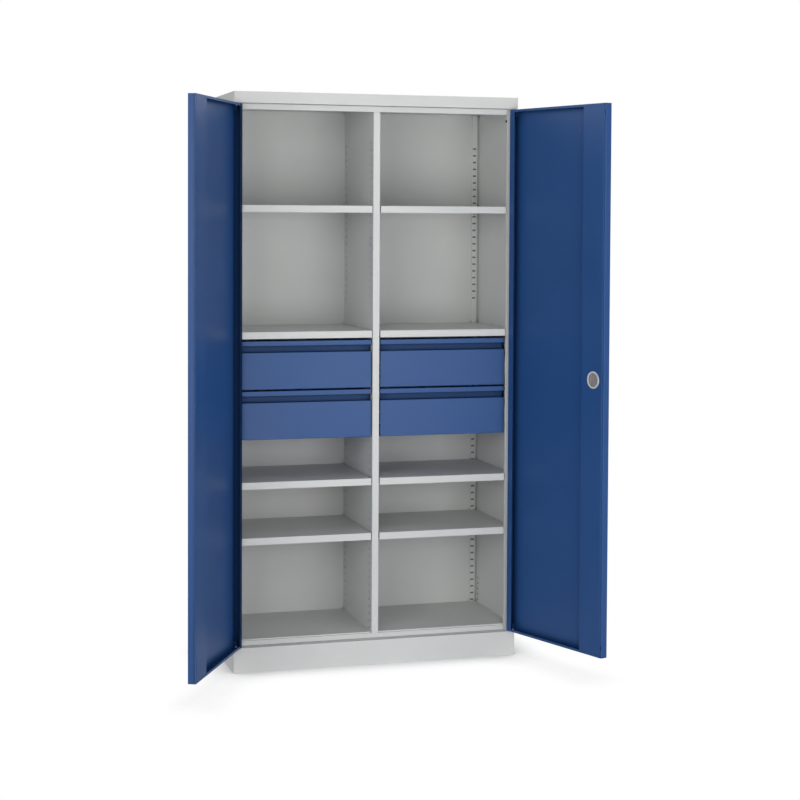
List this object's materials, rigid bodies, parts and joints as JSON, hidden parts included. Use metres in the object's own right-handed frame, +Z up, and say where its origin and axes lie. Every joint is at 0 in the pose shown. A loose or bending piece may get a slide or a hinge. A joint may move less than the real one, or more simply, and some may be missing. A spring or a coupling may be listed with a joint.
{
  "type": "tool cabinet",
  "caption": "Steel tool cabinet with two pan-folded wing doors, a centre partition, shelves on clips, drawers on telescopic runners and a rod lock.",
  "frame": {"origin": "centre of the plinth's underside, half way between the plinth's front and its back", "axes": "+X to the right seen from the front, +Y to the back, +Z up; the doors and drawers face -Y"},
  "size_m": [1.3922, 0.8845, 1.95],
  "materials": {
    "carcass_paint": "light grey powder coat, fine texture, satin",
    "door_paint": "deep blue powder coat, fine texture, satin",
    "zinc": "zinc-plated, semi-bright",
    "pin_steel": "plain turned steel",
    "ring_metal": "light silver, satin",
    "cam_steel": "pressed steel, dull",
    "guide_plastic": "black moulded, matt",
    "handle_plastic": "dark grey moulded, matt",
    "plug_metal": "nickel-plated"
  },
  "bodies": {
    "cabinet": {"plinth": "carcass_paint", "floor_panel": "carcass_paint", "left_side_panel": "carcass_paint", "right_side_panel": "carcass_paint", "back_panel": "carcass_paint", "top_cap": "carcass_paint", "ceiling_panel": "carcass_paint", "partition": "carcass_paint", "left_rear_strip": "carcass_paint", "right_rear_strip": "carcass_paint", "left_shelf_1": "carcass_paint", "left_shelf_2": "carcass_paint", "left_shelf_3": "carcass_paint", "left_shelf_4": "carcass_paint", "right_shelf_1": "carcass_paint", "right_shelf_2": "carcass_paint", "right_shelf_3": "carcass_paint", "right_shelf_4": "carcass_paint", "shelf_clips": "zinc", "hinge_pins": "pin_steel", "runner_brackets": "carcass_paint", "plugs_and_buffers": "guide_plastic", "upper_left_cabinet_runners": "zinc", "lower_left_cabinet_runners": "zinc", "upper_right_cabinet_runners": "zinc", "lower_right_cabinet_runners": "zinc"},
    "left_door": {"left_door_panel": "door_paint", "left_door_stiffener": "door_paint", "left_stop_strip": "door_paint", "left_pivot_bearings": "door_paint", "left_bearing_screws": "zinc"},
    "right_door": {"right_door_panel": "door_paint", "right_door_stiffener": "door_paint", "right_pivot_bearings": "door_paint", "right_bearing_screws": "zinc", "lock_case": "zinc", "lock_ring": "ring_metal", "rod_guides": "guide_plastic", "handle_rosette": "zinc"},
    "lock_handle": {"rotary_handle": "handle_plastic", "lock_spindle": "cam_steel"},
    "lock_key_plug": {"key_plug": "plug_metal"},
    "upper_rod": {"upper_lock_rod": "zinc"},
    "lower_rod": {"lower_lock_rod": "zinc"},
    "upper_left_runner_middles": {"upper_left_middle_runners": "zinc"},
    "upper_left_drawer": {"upper_left_drawer_front": "door_paint", "upper_left_drawer_box": "door_paint", "upper_left_drawer_runners": "zinc"},
    "lower_left_runner_middles": {"lower_left_middle_runners": "zinc"},
    "lower_left_drawer": {"lower_left_drawer_front": "door_paint", "lower_left_drawer_box": "door_paint", "lower_left_drawer_runners": "zinc"},
    "upper_right_runner_middles": {"upper_right_middle_runners": "zinc"},
    "upper_right_drawer": {"upper_right_drawer_front": "door_paint", "upper_right_drawer_box": "door_paint", "upper_right_drawer_runners": "zinc"},
    "lower_right_runner_middles": {"lower_right_middle_runners": "zinc"},
    "lower_right_drawer": {"lower_right_drawer_front": "door_paint", "lower_right_drawer_box": "door_paint", "lower_right_drawer_runners": "zinc"}
  },
  "joints": [
    {"name": "left_door_hinge", "type": "hinge", "parent": "cabinet", "child": "left_door", "pos_m": [-0.4925, -0.204, 0.084], "axis": [0, 0, -1], "range_deg": [-118, 62]},
    {"name": "right_door_hinge", "type": "hinge", "parent": "cabinet", "child": "right_door", "pos_m": [0.4925, -0.204, 0.084], "axis": [0, 0, 1], "range_deg": [-109, 71]},
    {"name": "handle_turn", "type": "hinge", "parent": "right_door", "child": "lock_handle", "pos_m": [0.6408, -0.61935, 1.002], "axis": [-0.9455, -0.3256, 0], "range_deg": [0, 90]},
    {"name": "key_turn", "type": "hinge", "parent": "lock_handle", "child": "lock_key_plug", "pos_m": [0.6408, -0.61935, 1.002], "axis": [-0.9455, -0.3256, 0], "range_deg": [0, 90]},
    {"name": "upper_rod_slide", "type": "slide", "parent": "right_door", "child": "upper_rod", "axis": [0, 0, 1], "range_m": [0, 0.024]},
    {"name": "lower_rod_slide", "type": "slide", "parent": "right_door", "child": "lower_rod", "axis": [0, 0, -1], "range_m": [0, 0.024]},
    {"name": "upper_left_drawer_slide", "type": "slide", "parent": "cabinet", "child": "upper_left_drawer", "axis": [0, -1, 0], "range_m": [0, 0.33]},
    {"name": "upper_left_middle_slide", "type": "slide", "parent": "cabinet", "child": "upper_left_runner_middles", "axis": [0, -1, 0], "range_m": [0, 0.165]},
    {"name": "lower_left_drawer_slide", "type": "slide", "parent": "cabinet", "child": "lower_left_drawer", "axis": [0, -1, 0], "range_m": [0, 0.33]},
    {"name": "lower_left_middle_slide", "type": "slide", "parent": "cabinet", "child": "lower_left_runner_middles", "axis": [0, -1, 0], "range_m": [0, 0.165]},
    {"name": "upper_right_drawer_slide", "type": "slide", "parent": "cabinet", "child": "upper_right_drawer", "axis": [0, -1, 0], "range_m": [0, 0.33]},
    {"name": "upper_right_middle_slide", "type": "slide", "parent": "cabinet", "child": "upper_right_runner_middles", "axis": [0, -1, 0], "range_m": [0, 0.165]},
    {"name": "lower_right_drawer_slide", "type": "slide", "parent": "cabinet", "child": "lower_right_drawer", "axis": [0, -1, 0], "range_m": [0, 0.33]},
    {"name": "lower_right_middle_slide", "type": "slide", "parent": "cabinet", "child": "lower_right_runner_middles", "axis": [0, -1, 0], "range_m": [0, 0.165]}
  ],
  "couplings": [
    {"joint": "upper_rod_slide", "follows": "handle_turn", "m_per_rad": 0.015279},
    {"joint": "lower_rod_slide", "follows": "handle_turn", "m_per_rad": 0.015279},
    {"joint": "upper_left_middle_slide", "follows": "upper_left_drawer_slide", "ratio": 0.5},
    {"joint": "lower_left_middle_slide", "follows": "lower_left_drawer_slide", "ratio": 0.5},
    {"joint": "upper_right_middle_slide", "follows": "upper_right_drawer_slide", "ratio": 0.5},
    {"joint": "lower_right_middle_slide", "follows": "lower_right_drawer_slide", "ratio": 0.5}
  ]
}
